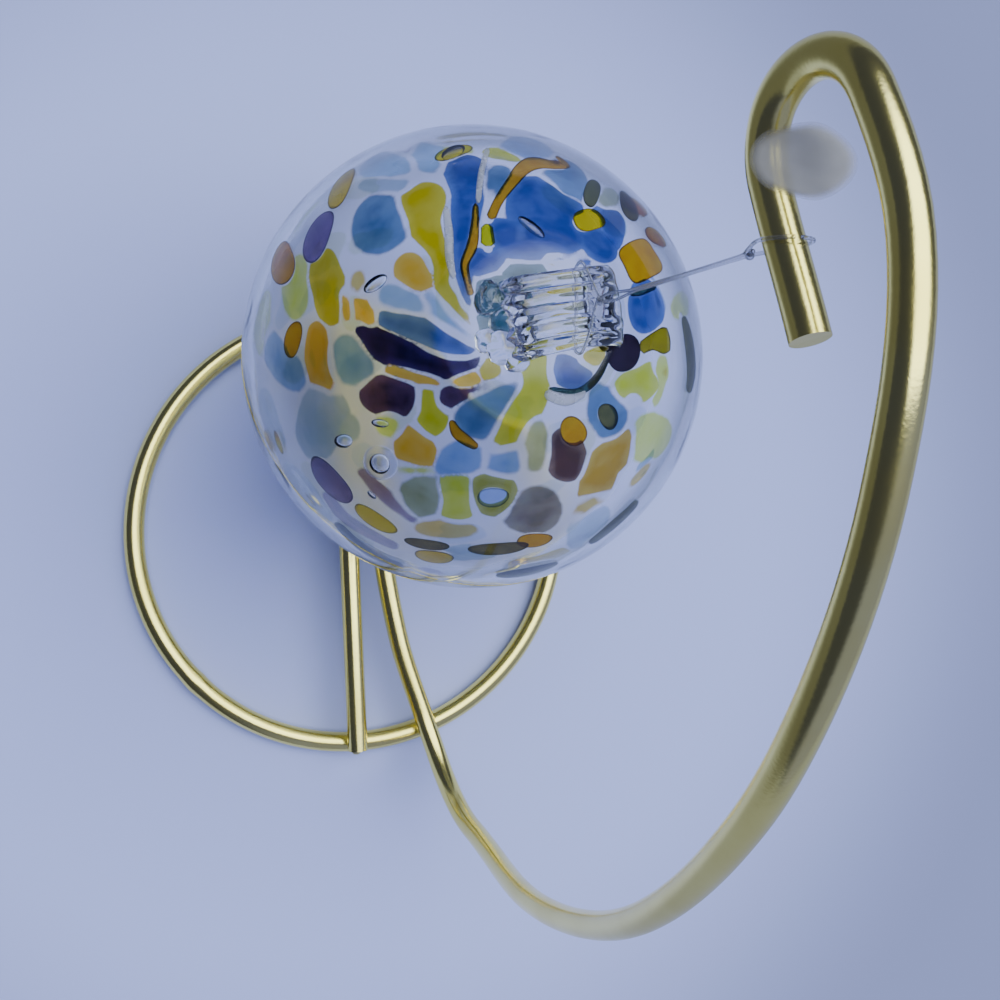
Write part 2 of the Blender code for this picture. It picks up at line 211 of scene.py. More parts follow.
# Pieces laid over the others, sealed in the wall: the same numbers as a chip's or a trail's, with
# the squareness of a chip's outline where it isn't the usual oval
SEALED_CHIPS = {
    "olive": ((108, 53, 3.0, 1.8, 100), (232, 61, 3.7, 1.9, 95), (203, 75, 1.8, 0.9, 81)),
    "straw": ((136, 66, 5.0, 2.0, 132), (202, 81, 1.8, 0.9, 81), (251, 63, 3.0, 1.9, 112)),
    "violet": ((151, 61, 4.4, 2.8, 106), (217, 63, 4.3, 2.8, 104)),
    "bark": ((51, 48, 3.8, 2.0, 10), (247, 59, 3.3, 1.4, 118), (266, 54, 4.4, 1.7, 104)),
    "yellow": ((64, 32, 2.9, 1.9, 140, 2.6),),
    "moss": ((65, 42, 3.8, 1.3, 175, 2.5), (315, 24, 2.2, 1.6, 174, 2.0), (278, 67, 4.8, 2.2, 95)),
    "amber": ((36, 35, 5.0, 2.9, 172, 4.5), (292, 22, 2.5, 1.9, 32, 2.1), (49, 51, 4.0, 1.8, 150),
              (38, 48, 3.2, 1.7, 150), (159, 71, 4.8, 2.8, 150), (179, 60, 2.7, 1.9, 72),
              (276, 51, 2.9, 1.7, 75)),
    "plum": ((353, 20, 3.2, 2.8, 13),),
    "sky": ((257, 38, 2.3, 1.7, 100),),
}
SEALED_THREADS = {
    "honey": (((77, 52, 0.5), (75, 49, 0.9), (79, 47, 1.2), (85, 46, 1.5), (90, 43, 1.2),
               (96, 38, 0.9), (104, 33, 0.7), (111, 29, 0.7)),
              ((113, 34, 0.4), (119, 29, 0.6), (127, 25, 0.8), (137, 23, 0.6), (145, 20, 0.5),
               (151, 18, 0.5)),
              ((223, 27, 0.4), (229, 28, 0.8), (235, 28, 0.8), (241, 28, 0.5)),
              ((358, 17, 0.4), (331, 15, 0.5), (315, 15, 0.4))),
    "lime": (((114, 28, 0.8), (120, 23, 1.0)),),
    "bronze": (((357, 25, 0.9), (1, 29, 1.2), (2, 33, 1.9), (3, 36, 1.6)),),
    "teal": (((277, 11, 0.3), (305, 14, 0.5), (326, 15, 0.6), (350, 16, 0.4)),
             ((26, 25, 0.3), (25, 29, 0.6), (24, 35, 0.3))),
    "moss": (((11, 44, 1.0), (4, 46, 1.9), (354, 49, 2.2), (347, 49, 1.4)),
             ((312, 56, 1.5), (303, 58, 1.9), (295, 61, 1.4))),
    "night": (((227, 74, 1.2), (234, 76, 1.7), (240, 77, 1.8), (247, 74, 1.0)),),
    "milk": (((98, 52, 0.4), (105, 42, 0.45), (112, 34, 0.4)),
             ((123, 37, 0.4), (130, 31, 0.6), (138, 27, 0.6), (147, 23, 0.4)),
             ((272, 12, 0.7), (292, 14, 1.0), (311, 15, 0.7))),
}
SEALED_COLOURS = {
    "olive": (0.78, 0.64, 0.006), "straw": (0.80, 0.60, 0.05), "violet": (0.30, 0.20, 0.40),
    "bark": (0.24, 0.20, 0.06), "yellow": (0.80, 0.62, 0.006), "moss": (0.16, 0.17, 0.05),
    "amber": (0.76, 0.42, 0.006), "bronze": (0.42, 0.36, 0.01), "plum": (0.04, 0.02, 0.035),
    "sky": (0.50, 0.64, 0.90), "honey": (0.66, 0.36, 0.02), "lime": (0.70, 0.70, 0.01),
    "teal": (0.06, 0.14, 0.12), "night": (0.16, 0.20, 0.28), "milk": (0.92, 0.94, 0.96),
}

# Lumps on the strap's near foot: mm along and across the strap from its middle, rise over the ball,
# radius, and how flat
FOOT_LUMPS = (
    (-8.6, -3.4, 0.9, 2.3, 0.95), (-6.9, -5.0, 0.9, 1.9, 1.0), (-10.4, -2.0, 0.6, 1.7, 0.9),
    (-9.0, 3.4, 1.2, 2.4, 0.9), (-6.2, 1.0, 2.6, 2.2, 1.0), (-5.6, -2.6, 3.2, 1.7, 1.0),
    (-8.2, 0.2, 1.4, 1.8, 1.0),
)

# Flattened air bubbles in the wall: azimuth, angle from the top, half length, half width and
# half thickness in mm, turn of the length from the meridian
BUBBLES = (
    (220, 47, 1.7, 1.5, 0.40, 12), (220, 47, 2.9, 2.5, 0.10, 12), (161, 39, 1.9, 1.0, 0.45, 46),
    (226, 55, 0.8, 0.5, 0.30, 93), (93, 25, 2.3, 0.9, 0.40, 39), (141, 13, 1.8, 1.7, 0.55, 100),
    (209, 52, 1.6, 1.0, 0.30, 169), (209, 41, 1.3, 0.6, 0.35, 150), (108, 53, 2.4, 1.4, 0.30, 129),
)


# ---- small helpers -----------------------------------------------------------
def add(name, shape, finish):
    """A new piece with that mesh or curve and that finish, in the scene."""
    piece = bpy.data.objects.new(name, shape)
    shape.materials.append(finish)
    bpy.context.scene.collection.objects.link(piece)
    return piece


def mesh_of(name, points, faces):
    """A smooth mesh from points and faces worked out by the caller."""
    mesh = bpy.data.meshes.new(name)
    mesh.from_pydata([tuple(p) for p in points], [], faces)
    mesh.update()
    mesh.shade_smooth()
    return mesh


def shaped_ball(name, subdivisions, shape):
    """A mesh made from a ball of radius 1, each of its points moved to shape(point)."""
    form = bmesh.new()
    bmesh.ops.create_icosphere(form, subdivisions=subdivisions, radius=1.0)
    for vert in form.verts:
        vert.co = shape(vert.co.copy())
    mesh = bpy.data.meshes.new(name)
    form.to_mesh(mesh)
    form.free()
    mesh.shade_smooth()
    return mesh


def mark_points(mesh, name, values):
    """A number at each of the mesh's points, for its finish to read."""
    marks = mesh.attributes.new(name, "FLOAT", "POINT")
    marks.data.foreach_set("value", np.array(values, np.float32))


def turns(count):
    """Angles that go once round in equal steps."""
    return [2 * math.pi * step / count for step in range(count)]


def ease(low, high, x):
    """0 below low, 1 above high, smooth between."""
    t = np.clip((x - low) / (high - low), 0.0, 1.0)
    return t * t * (3 - 2 * t)


def flowing(u, here, there, leave, arrive):
    """The value at u, from 0 to 1, on a smooth run between two values with those slopes."""
    return ((2 * u**3 - 3 * u**2 + 1) * here + (u**3 - 2 * u**2 + u) * leave
            + (3 * u**2 - 2 * u**3) * there + (u**3 - u**2) * arrive)


def spans(points):
    """Every two neighbours on a route, with the points before and after them."""
    ends = [2 * points[0] - points[1], *points, 2 * points[-1] - points[-2]]
    return zip(ends, ends[1:], ends[2:], ends[3:])


def catmull_rom(table, position):
    """Smooth value of a (position, value) table at a position."""
    last = len(table) - 1
    index = next((i for i in range(last) if position <= table[i + 1][0]), last - 1)
    (t0, v0), (t1, v1) = table[index], table[index + 1]
    before, after = table[max(index - 1, 0)], table[min(index + 2, last)]
    span = t1 - t0
    return flowing((position - t0) / span, v0, v1, span * (v1 - before[1]) / (t1 - before[0]),
                   span * (after[1] - v0) / (after[0] - t0))


def rounded(points, step):
    """Points read every step or so from a smooth curve through the route's points."""
    out = [points[0]]
    for before, here, there, after in spans(points):
        span = (there - here).length
        leave = (there - before) * (span / (span + (here - before).length))
        arrive = (after - here) * (span / (span + (after - there).length))
        pieces = max(1, round(span / step))
        out += [flowing(piece / pieces, here, there, leave, arrive)
                for piece in range(1, pieces + 1)]
    return out


def tube_faces(rings, around, closed=False, first=0):
    """Faces along a tube whose points go round it, ring by ring."""
    faces = []
    for ring in range(rings if closed else rings - 1):
        here, there = first + ring * around, first + (ring + 1) % rings * around
        for corner in range(around):
            after = (corner + 1) % around
            faces.append((here + corner, here + after, there + after, there + corner))
    return faces


def end_faces(rings, around):
    """The flat faces at both ends of such a tube."""
    return [tuple(reversed(range(around))), tuple(range((rings - 1) * around, rings * around))]


def inside_out(faces):
    """The same faces, looking the other way."""
    return [(face[0], *reversed(face[1:])) for face in faces]


def joined(shells):
    """One list of points and one of faces, from the points and faces of several shells."""
    faces, start = [], 0
    for points, sides in shells:
        faces += [tuple(start + corner for corner in side) for side in sides]
        start += len(points)
    return np.concatenate([points for points, _ in shells]), faces


def sweep(name, route, radii, sides, closed=False):
    """A round tube along a route, with a radius at each point and flat ends unless closed."""
    points = []
    count = len(route)
    side = None
    for index, place in enumerate(route):
        after = route[(index + 1) % count] if closed else route[min(index + 1, count - 1)]
        before = route[index - 1] if closed or index else route[0]
        along = (after - before).normalized()
        side = (along.orthogonal() if side is None else side - along * side.dot(along)).normalized()
        other = along.cross(side)
        points += [place + radii[index] * (math.cos(turn) * side + math.sin(turn) * other)
                   for turn in turns(sides)]
    faces = tube_faces(count, sides, closed) + ([] if closed else end_faces(count, sides))
    mesh = mesh_of(name, points, faces)
    mesh.set_sharp_from_angle(angle=math.radians(50))
    return mesh


# ---- shader expressions ------------------------------------------------------
class Value:
    """A shader socket that takes part in Python arithmetic by adding Math nodes."""

    def __init__(self, finish, socket):
        self.finish, self.socket = finish, socket

    def math(self, operation, *terms):
        return self.finish.node("ShaderNodeMath", {"operation": operation}, dict(enumerate(terms)))

    def __add__(self, other):
        return self.math("ADD", self, other)

    def __mul__(self, other):
        return self.math("MULTIPLY", self, other)

    def __sub__(self, other):
        return self.math("SUBTRACT", self, other)

    def __rsub__(self, other):
        return self.math("SUBTRACT", other, self)

    __radd__, __rmul__ = __add__, __mul__

    def ease(self, low, high, start=0.0, end=1.0):
        """start below low, end above high, smooth between."""
        return self.finish.node("ShaderNodeMapRange", {"interpolation_type": "SMOOTHSTEP"},
                                {"Value": self, "From Min": low, "From Max": high,
                                 "To Min": start, "To Max": end})


class Nodes:
    """A node tree, and the ways to add to it."""

    def __init__(self, tree):
        self.tree = tree

    def node(self, kind, settings=None, inputs=None, out=0):
        """Any node: its settings are set first, then the values or links of its sockets."""
        node = self.tree.nodes.new(kind)
        for name, value in (settings or {}).items():
            setattr(node, name, value)
        for name, value in (inputs or {}).items():
            self.feed(node.inputs[name], value)
        return Value(self, node.outputs[out])

    def mix(self, share, one, two, blend="MIX"):
        """Colour one, with a share of colour two."""
        return self.node("ShaderNodeMix", {"data_type": "RGBA", "blend_type": blend},
                         {"Factor": share, 6: one, 7: two}, out=2)

    def vector(self, operation, one, two=(0, 0, 0), out=0):
        """Vector Math on two vectors; a result that is a number comes with out=1."""
        return self.node("ShaderNodeVectorMath", {"operation": operation}, {0: one, 1: two}, out)

    def feed(self, socket, value):
        """Give a socket a plain value or a link."""
        if isinstance(value, Value):
            self.tree.links.new(value.socket, socket)
        elif isinstance(value, tuple) and len(value) == 3 and socket.type == "RGBA":
            socket.default_value = (*value, 1.0)
        else:
            socket.default_value = value


class Finish(Nodes):
    """One material: a Principled shader, and whatever nodes its looks need."""

    def __init__(self, name, **plain):
        self.material = bpy.data.materials.new(name)
        self.material.use_nodes = True
        super().__init__(self.material.node_tree)
        self.drive(**plain)

    def drive(self, **sockets):
        """Feed the shader's own sockets, and hand over the material."""
        for name, value in sockets.items():
            self.feed(self.tree.nodes["Principled BSDF"].inputs[name.replace("_", " ")], value)
        return self.material

    def mark(self, name, out=2):
        """What the mesh says at each of its points: a number, or a colour with out=0."""
        return self.node("ShaderNodeAttribute", {"attribute_name": name}, out=out)

    def noise(self, scale, detail=3.0, stretch=(1, 1, 1)):
        """Noise over the piece's own space, from 0 to 1."""
        place = self.vector("MULTIPLY", self.node("ShaderNodeTexCoord", out=3), stretch)
        return self.node("ShaderNodeTexNoise", None,
                         {"Vector": place, "Scale": scale, "Detail": detail})

    def relief(self, height, depth):
        """The slopes of a relief that is some depth in mm, for the shader's Normal."""
        return self.node("ShaderNodeBump", None, {"Height": height, "Distance": depth * MM})


# ---- finishes ----------------------------------------------------------------
def brass_plating():
    """Pale bright brass plating with fine drawing marks and a little tarnish."""
    finish = Finish("brass_plating", Metallic=1.0)
    cloud = finish.noise(90, detail=4)
    marks = finish.noise(2600, detail=2)
    return finish.drive(
        Base_Color=finish.mix(cloud.ease(0.35, 0.7), (0.95, 0.83, 0.22), (0.88, 0.75, 0.18)),
        Roughness=cloud.ease(0.3, 0.8, 0.15, 0.24) + marks * 0.05,
        Normal=finish.relief(marks * 0.6 + cloud, 0.02))


def clouded(name, noise_of, pale, dark, roughness, depth=0.0, **plain):
    """A finish whose colour and roughness wander together over the piece: the noise's scale and
    detail, two colours, the ease that gives the roughness, and the depth of its relief in mm."""
    finish = Finish(name, **plain)
    cloud = finish.noise(*noise_of)
    finish.drive(Base_Color=finish.mix(cloud, pale, dark), Roughness=cloud.ease(*roughness))
    if depth:
        finish.drive(Normal=finish.relief(cloud, depth))
    return finish


def braze_metal():
    """The brazed joints: the same plating over a rougher bead."""
    return clouded("braze_metal", (900, 5), (0.80, 0.72, 0.26), (0.62, 0.54, 0.18),
                   (0.2, 0.8, 0.25, 0.42), depth=0.08, Metallic=1.0).material


def ball_glass(name, gloss):
    """Clear glass, tinted where the mesh says that a coloured chip lies in the wall, misted
    where it says so, and darkened by a painted shade where it is seen edge-on."""
    finish = Finish(name, Transmission_Weight=1.0, IOR=1.5, Roughness=0.0,
                    Specular_Tint=(gloss, gloss, gloss, 1.0))
    tint = finish.mark("chip_tint", out=0)
    edge = finish.mark("chip_edge")
    streaks = finish.noise(420, detail=4, stretch=(1, 1, 2.5))
    inside = edge + (streaks - 0.5) * 0.12
    full = finish.mix(1.0, tint, tint, "MULTIPLY")
    cloud = finish.noise(190, detail=2)
    thickness = (inside.ease(0.0, 0.9, 0.5, 0.95) + (streaks - 0.5) * 0.4
                 + (cloud - 0.5) * 1.2)
    colour = finish.mix(thickness, tint, full)
    glass = finish.mix(inside.ease(-0.04, 0.1), (0.985, 0.99, 0.992), colour)
    # Painted shade: the ball's rim, seen edge-on, is darkened towards a grey-green.
    edge_on = finish.node("ShaderNodeLayerWeight", None, {0: 0.5}, out=1)
    rim = edge_on.ease(0.52, 0.86, 0.0, 0.85)
    return finish.drive(Base_Color=finish.mix(rim, glass, (0.27, 0.32, 0.31), "MULTIPLY"),
                        Roughness=finish.mark("misted") * 0.62)


def sealed_glass(name, colour):
    """A piece of glass sealed in the wall: it bends light only a little there, and its outline
    is darker than its middle, a painted shade for the dark edge that refraction gives."""
    finish = Finish(name, Transmission_Weight=1.0, IOR=1.05, Roughness=0.0)
    edge = finish.mark("chip_edge")
    streaks = finish.noise(600, detail=4)
    # Painted shade: a darker copy of the colour, laid along the chip's outline.
    dark = tuple(0.35 * channel ** 1.2 for channel in colour)
    body = finish.mix(streaks.ease(0.3, 0.75, 0.0, 0.5), colour,
                      tuple(channel ** 1.6 for channel in colour))
    return finish.drive(Base_Color=finish.mix(edge.ease(0.02, 0.28), dark, body))


def opal_glass():
    """The white threads: milky glass that lets half of the light through."""
    return clouded("opal_glass", (500, 3), (0.93, 0.95, 0.97), (0.80, 0.84, 0.90),
                   (0.3, 0.7, 0.2, 0.4), Transmission_Weight=0.45, IOR=1.05).material


def nylon():
    """The clear line."""
    return clouded("nylon", (1500, 2), (0.78, 0.78, 0.78), (0.66, 0.66, 0.66),
                   (0.2, 0.8, 0.05, 0.2), Transmission_Weight=0.95, IOR=1.22).material


def film():
    """The frosted clear film of the tab, which thins out at its rim."""
    finish = clouded("film", (420, 4), (0.43, 0.42, 0.385), (0.36, 0.35, 0.32),
                     (0.2, 0.8, 0.4, 0.6), depth=0.05, Transmission_Weight=0.4, IOR=1.3)
    return finish.drive(Alpha=finish.mark("from_rim").ease(0.0, 0.25, 0.15, 0.97))


# ---- the stand ---------------------------------------------------------------
def arm_route(gentle, tight):
    """Points along the middle of the arm's wire, no further apart than gentle, nor turning more
    than tight from one to the next."""
    arcs = [(radius * MM, math.radians(degrees)) for radius, degrees in ARM_ARCS]
    flat, heading = [(ARM_START_Y, RAISED)], 0.0
    for length, bend in ((FOOT_RUN, 0.0), *[(radius * bend, bend) for radius, bend in arcs],
                         (TIP_RUN, 0.0)):
        y, z = flat[-1]
        steps = math.ceil(max(bend / tight, length / gentle))
        for step in range(1, steps + 1):
            half = bend / 2 * step / steps
            chord = length * step / steps * (math.sin(half) / half if half else 1.0)
            flat.append((y - chord * math.cos(heading + half),
                         z + chord * math.sin(heading + half)))
        heading += bend

    travelled = [0.0]
    for place, after in zip(flat, flat[1:]):
        travelled.append(travelled[-1] + math.dist(place, after))
    return [RING + Vector((catmull_rom(ARM_SWAY, done / travelled[-1]) * MM, y, z))
            for (y, z), done in zip(flat, travelled)]


def cut_ends(route, rounding):
    """The wire's route and its radii, with a small rounding at both cut ends."""
    def cap(end, inner):
        along = (inner - end).normalized()
        return [(end + along * rounding * (1 - math.cos(math.pi / 2 - angle)),
                 WIRE - rounding * (1 - math.sin(angle)))
                for angle in map(math.radians, (0, 22, 45, 68, 90))]

    middle = [(place, WIRE) for place in route[1:-1]
              if (place - route[0]).length > rounding and (place - route[-1]).length > rounding]
    both = [*cap(route[0], route[1]), *middle, *reversed(cap(route[-1], route[-2]))]
    return [place for place, _ in both], [size for _, size in both]


def make_stand():
    """The ring, the bar, the arm and the four brazed joints."""
    plating = brass_plating()
    braze = braze_metal()

    def cut_wire(name, line, rounding, sides):
        return add(name, sweep(name, *cut_ends(line, rounding), sides), plating)

    circle = [RING + Vector((RING_RADIUS * math.cos(turn), RING_RADIUS * math.sin(turn), WIRE))
              for turn in turns(200)]
    radii = [WIRE * (1 + WELD_SWELL * math.exp(-((turn - RING_WELD) / WELD_SPREAD) ** 2))
             for turn in turns(200)]
    ring = add("ring_wire", sweep("ring_wire", circle, radii, 28, closed=True), plating)
    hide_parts("base_ring")

    reach = RING_RADIUS + BAR_OVERHANG
    near, far = Vector((0.0, -reach, RAISED)), Vector((BAR_FAR_SIDE, reach, RAISED))
    bar_line = [RING + near.lerp(far, s / 24) for s in range(25)]
    bar = cut_wire("bar_wire", bar_line, 0.35 * MM, 28)
    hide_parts("cross_bar")

    arm_line = arm_route(2.2 * MM, math.radians(4))
    arm = cut_wire("bent_arm", arm_line, 0.45 * MM, 32)
    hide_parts("arm_wire")

    pieces = [ring, bar, arm]
    for name, line in (("bar", bar_line), ("arm", arm_line)):
        for end, sign in (("near", -1), ("far", 1)):
            on_ring = min((place for place in line if (place.y - RING.y) * sign > 0),
                          key=lambda place: abs((place.xy - RING.xy).length - RING_RADIUS)
                          + abs(place.z - RAISED))
            pieces.append(braze_bead(f"braze_{name}_{end}", on_ring, braze))
    for piece in pieces:
        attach(piece, "root")


def braze_bead(name, place, braze):
    """A small saddle of filler metal between a wire and the ring under it."""
    height = (RAISED - WIRE) / 2

    def saddle(spot):
        wobble = 1 + 0.12 * noise.noise(spot * 1.7 + place * 200)
        waist = 0.62 + 0.38 * spot.z ** 2
        return Vector((spot.x * 1.75 * MM * waist * wobble, spot.y * 1.9 * MM * waist * wobble,
                       spot.z * height * 0.62))

    bead = add(name, shaped_ball(name, 4, saddle), braze)
    bead.location = Vector((place.x, place.y, WIRE + height))
    return bead


# ---- the ball ----------------------------------------------------------------
def way(azimuth, tip):
    """Unit vector at an azimuth and an angle from the top, in degrees."""
    azimuth, tip = math.radians(azimuth), math.radians(tip)
    return np.array((math.sin(tip) * math.cos(azimuth), math.sin(tip) * math.sin(azimuth),
                     math.cos(tip)))


def lie_on_ball(azimuth, tip, turn):
    """Unit vectors to a chip's middle, along its length and across it."""
    middle = way(azimuth, tip)
    azimuth, turn = math.radians(azimuth), math.radians(turn)
    east = np.array((-math.sin(azimuth), math.cos(azimuth), 0.0))
    south = np.cross(east, middle)
    along = math.cos(turn) * south + math.sin(turn) * east
    return middle, along, np.cross(middle, along)


def chip_reach(points, azimuth, tip, half_long, half_wide, turn, square=OVAL):
    """How far each unit vector lies inside an oval chip's edge, in mm; outside is negative."""
    middle, along, across = lie_on_ball(azimuth, tip, turn)
    u, v = points @ along * BALL_MM, points @ across * BALL_MM
    angle = np.arctan2(v, u)
    wobble = 1 + 0.07 * np.sin(2 * angle + azimuth) + 0.05 * np.sin(3 * angle + 2 * tip)
    u, v = np.abs(u) / wobble + 1e-6, np.abs(v) / wobble + 1e-6
    q = ((u / half_long) ** square + (v / half_wide) ** square) ** (1 / square)
    slope = q ** (1 - square) * np.hypot(u ** (square - 1) / half_long ** square,
                                         v ** (square - 1) / half_wide ** square)
    reach = np.minimum((1 - q) / slope, half_wide)
    return np.where(points @ middle > SAME_SIDE, reach, FAR_OUTSIDE)


def trail_line(nodes, per_span=8):
    """Unit vectors along a drawn-out trail, with the half width in mm at each."""
    ways = [Vector(way(azimuth, tip)) for azimuth, tip, _ in nodes]
    widths = [(index, node[2]) for index, node in enumerate(nodes)]
    line = [ways[0]]
    for before, here, there, after in spans(ways):
        line += [flowing(step / per_span, here, there, (there - before) / 2, (after - here) / 2)
                 for step in range(1, per_span + 1)]
    return [(place.normalized(), catmull_rom(widths, min(index / per_span, len(nodes) - 1)))
            for index, place in enumerate(line)]


def trail_reach(points, nodes):
    """How far each unit vector lies inside a drawn-out trail's edge, in mm."""
    reach = np.full(len(points), FAR_OUTSIDE)
    line = trail_line(nodes)
    for (place, width), (after, next_width) in zip(line, line[1:]):
        start, step = np.array(place), np.array(after - place)
        part = np.clip((points - start) @ step / (step @ step), 0, 1)
        far = np.linalg.norm(points - start - part[:, None] * step, axis=1) * BALL_MM
        reach = np.maximum(reach, width + (next_width - width) * part - far)
    return reach


def reaches(points, chips, trails):
    """The colour of each chip and trail, with how far each unit vector lies inside its edge."""
    return ([(colour, chip_reach(points, *chip)) for colour, group in chips.items()
             for chip in group]
            + [(colour, trail_reach(points, trail)) for colour, group in trails.items()
               for trail in group])


def chip_field(points):
    """For unit vectors: how far inside a chip each is, and that chip's colour.

    The distance in mm is cut down, and most where the chip's colour has a blurred edge."""
    best = np.full(len(points), FAR_OUTSIDE)
    second = best.copy()
    colours = np.ones((len(points), 3))
    sharpness = np.ones(len(points))
    fields = reaches(points, CHIPS, TRAILS)
    for runny in RUNNY:
        pool = np.maximum.reduce([reach for colour, reach in fields if colour == runny])
        fields = [field for field in fields if field[0] != runny] + [(runny, pool)]
    fields += [(colour, chip_reach(points, *chip)) for colour, chip in scattered_chips()]
    for colour, reach in fields:
        wins = reach > best
        second = np.where(wins, best, np.maximum(second, reach))
        best = np.where(wins, reach, best)
        colours[wins] = GLASS_COLOURS[colour]
        sharpness[wins] = BLURRED_EDGE if colour in BLURRED else CRISP_EDGE
    gap = CHIP_GAP * (1 + 1.2 * np.sin(points @ (9.0, 4.0, 7.0) + 1)
                      * np.sin(points @ (-5.0, 11.0, 3.0)))
    edge = np.minimum(best + CHIP_SPREAD, (best - second - gap) / 2)
    return np.minimum(edge * sharpness, UNDERLAP - sealed_reach(points)), colours


def sealed_reach(points):
    """How far each unit vector lies under the coloured pieces laid over the others, in mm."""
    fields = reaches(points, SEALED_CHIPS, SEALED_THREADS)
    return np.maximum.reduce([reach for colour, reach in fields if colour != "milk"])


def scattered_chips():
    """The paler, sparser chips of the ball's underside."""
    tips, fullest, bare_share = (92, 106, 120, 134, 148, 162), 15, 0.22
    pick = random.Random(7)
    chips = []
    for ring, tip in enumerate(tips):
        around = max(4, round(fullest * math.sin(math.radians(tip))))
        for place in range(around):
            if pick.random() < bare_share:
                continue
            azimuth = 360 * (place + 0.5 * (ring % 2) + pick.uniform(-0.25, 0.25)) / around
            long = pick.uniform(3.0, 5.2)
            colour = pick.choice(("sky", "leaf", "straw", "mist", "violet", "amber", "blue",
                                  "olive", "mist") if tip < 100 else ("ice", "ice", "pale"))
            chips.append((colour, (azimuth, tip + pick.uniform(-4, 4), long,
                                   long * pick.uniform(0.45, 0.8), pick.uniform(0, 180))))
    return chips


def gather_share(points, inner, outer):
    """1 in the middle of the thick gather on top and 0 outside it, with a slope from inner to
    outer mm from its middle."""
    away = np.arccos(np.clip(points @ way(*GATHER_WAY), -1, 1)) * BALL_MM
    return 1 - ease(inner, outer, away)


def ball_sphere(segments, rings):
    """Unit vectors and faces of a UV sphere."""
    form = bmesh.new()
    bmesh.ops.create_uvsphere(form, u_segments=segments, v_segments=rings, radius=1.0)
    points = np.array([vert.co for vert in form.verts])
    faces = [tuple(vert.index for vert in face.verts) for face in form.faces]
    form.free()
    return points, faces


def woven_sphere():
    """Unit vectors and triangles of a sphere, woven finely over the chips and more coarsely on
    the underside."""
    def spacing(tip):
        """The distance between two points, as a turn, at an angle from the top."""
        share = float(ease(75, 100, math.degrees(tip)))
        return (FINE_WEAVE + WEAVE_GROWTH * share) * MM / (BALL_RADIUS - WALL)

    points, faces, tip, above = [(0.0, 0.0, 1.0)], [], 0.0, (0, 1)
    lowest = math.pi - 0.6 * spacing(math.pi)
    while tip <= lowest:
        tip += spacing(tip)
        ring = [(0.0, 0.0, -1.0)]
        if tip <= lowest:
            count = max(8, round(2 * math.pi * math.sin(tip) / spacing(tip)))
            ring = [(math.sin(tip) * math.cos(turn), math.sin(tip) * math.sin(turn), math.cos(tip))
                    for turn in turns(count)]
        below = (len(points), len(ring))
        points += ring
        faces += zipped(above, below)
        above = below
    return np.array(points), faces


def zipped(above, below):
    """Triangles between two rings, each given as its first point's number and its count."""
    steps = sorted(((step + 1) / count, ring, first + (step + 1) % count)
                   for ring, (first, count) in enumerate((above, below)) if count > 1
                   for step in range(count))
    reached, faces = [above[0], below[0]], []
    for _, ring, after in steps:
        faces.append((*reached, after))
        reached[ring] = after
    return faces


def loop_strap():
    """The drawn strap of the loop: a rounded flat section with ribs, swept over its arch."""
    stations, around = 73, 120
    points = []

    def squared(share):
        return math.copysign(abs(share) ** 0.6, share)

    for station in range(stations):
        part = station / (stations - 1)
        angle = math.pi * (1 - part)
        foot = max(0.0, 1 - min(part, 1 - part) * 19) * LOOP_ROOT
        middle = (LOOP + LOOP_ALONG * LOOP_HALF_SPAN * math.cos(angle)
                  + UP * (LOOP_RISE * math.sin(angle) - foot))
        outward = (LOOP_ALONG * math.cos(angle) / LOOP_HALF_SPAN
                   + UP * math.sin(angle) / LOOP_RISE).normalized()
        swell = 1 + 0.10 * abs(math.cos(angle)) ** 3
        smooth_end = float(ease(0.58, 0.78, part))
        for turn in turns(around):
            across, thick = squared(math.cos(turn)), squared(math.sin(turn))
            ribs = math.cos(5 * math.pi * across + 0.5 * math.sin(2.5 * part))
            depth = (0.42 if thick > 0 else 0.22) * abs(thick) * (1 - 0.85 * smooth_end) * MM
            lift = depth * ribs + 0.08 * MM * noise.noise(Vector((part * 7, across * 3, thick)))
            lift *= 1 if thick > 0 else -1
            points.append(middle + LOOP_ACROSS * across * STRAP_HALF_WIDTH * swell
                          + outward * (thick * STRAP_HALF_THICK * swell + lift))
    return mesh_of("loop_strap", points, tube_faces(stations, around) + end_faces(stations, around))


def foot_lump(index, along, across, rise, size, squash):
    """One of the lumps of glass on the strap's foot, where it was pressed on and pulled off."""
    def lump(spot):
        grown = spot * (1 + 0.30 * noise.noise(spot * 1.4 + Vector((index * 3.1, 0, 0)))
                        + 0.08 * noise.noise(spot * 4.0 + Vector((0, index * 2.3, 0))))
        grown.z *= squash
        return grown * size * MM

    mesh = shaped_ball(f"foot_lump_{index}", 3, lump)
    spot = LOOP + (LOOP_ALONG * along + LOOP_ACROSS * across) * MM
    below = BALL_RADIUS - math.sqrt(BALL_RADIUS**2 - (spot.xy - BALL.xy).length_squared)
    mesh.transform(Matrix.Translation(spot + UP * (rise * MM - below)))
    return mesh


def fused(base, others):
    """Points and faces of base with the other closed meshes joined on by a Boolean union."""
    form = bmesh.new()
    for mesh in others:
        form.from_mesh(mesh)
    added = bpy.data.meshes.new("added")
    form.to_mesh(added)
    form.free()
    whole, more = [bpy.data.objects.new(mesh.name, mesh) for mesh in (base, added)]
    for piece in (whole, more):
        bpy.context.scene.collection.objects.link(piece)
    join = whole.modifiers.new("join", "BOOLEAN")
    join.operation = "UNION"
    join.solver = "EXACT"
    join.use_self = True
    join.object = more
    graph = bpy.context.evaluated_depsgraph_get()
    mesh = bpy.data.meshes.new_from_object(whole.evaluated_get(graph))
    for piece in (whole, more):
        bpy.data.objects.remove(piece)
    return (np.array([vert.co for vert in mesh.vertices]),
            [tuple(face.vertices) for face in mesh.polygons])


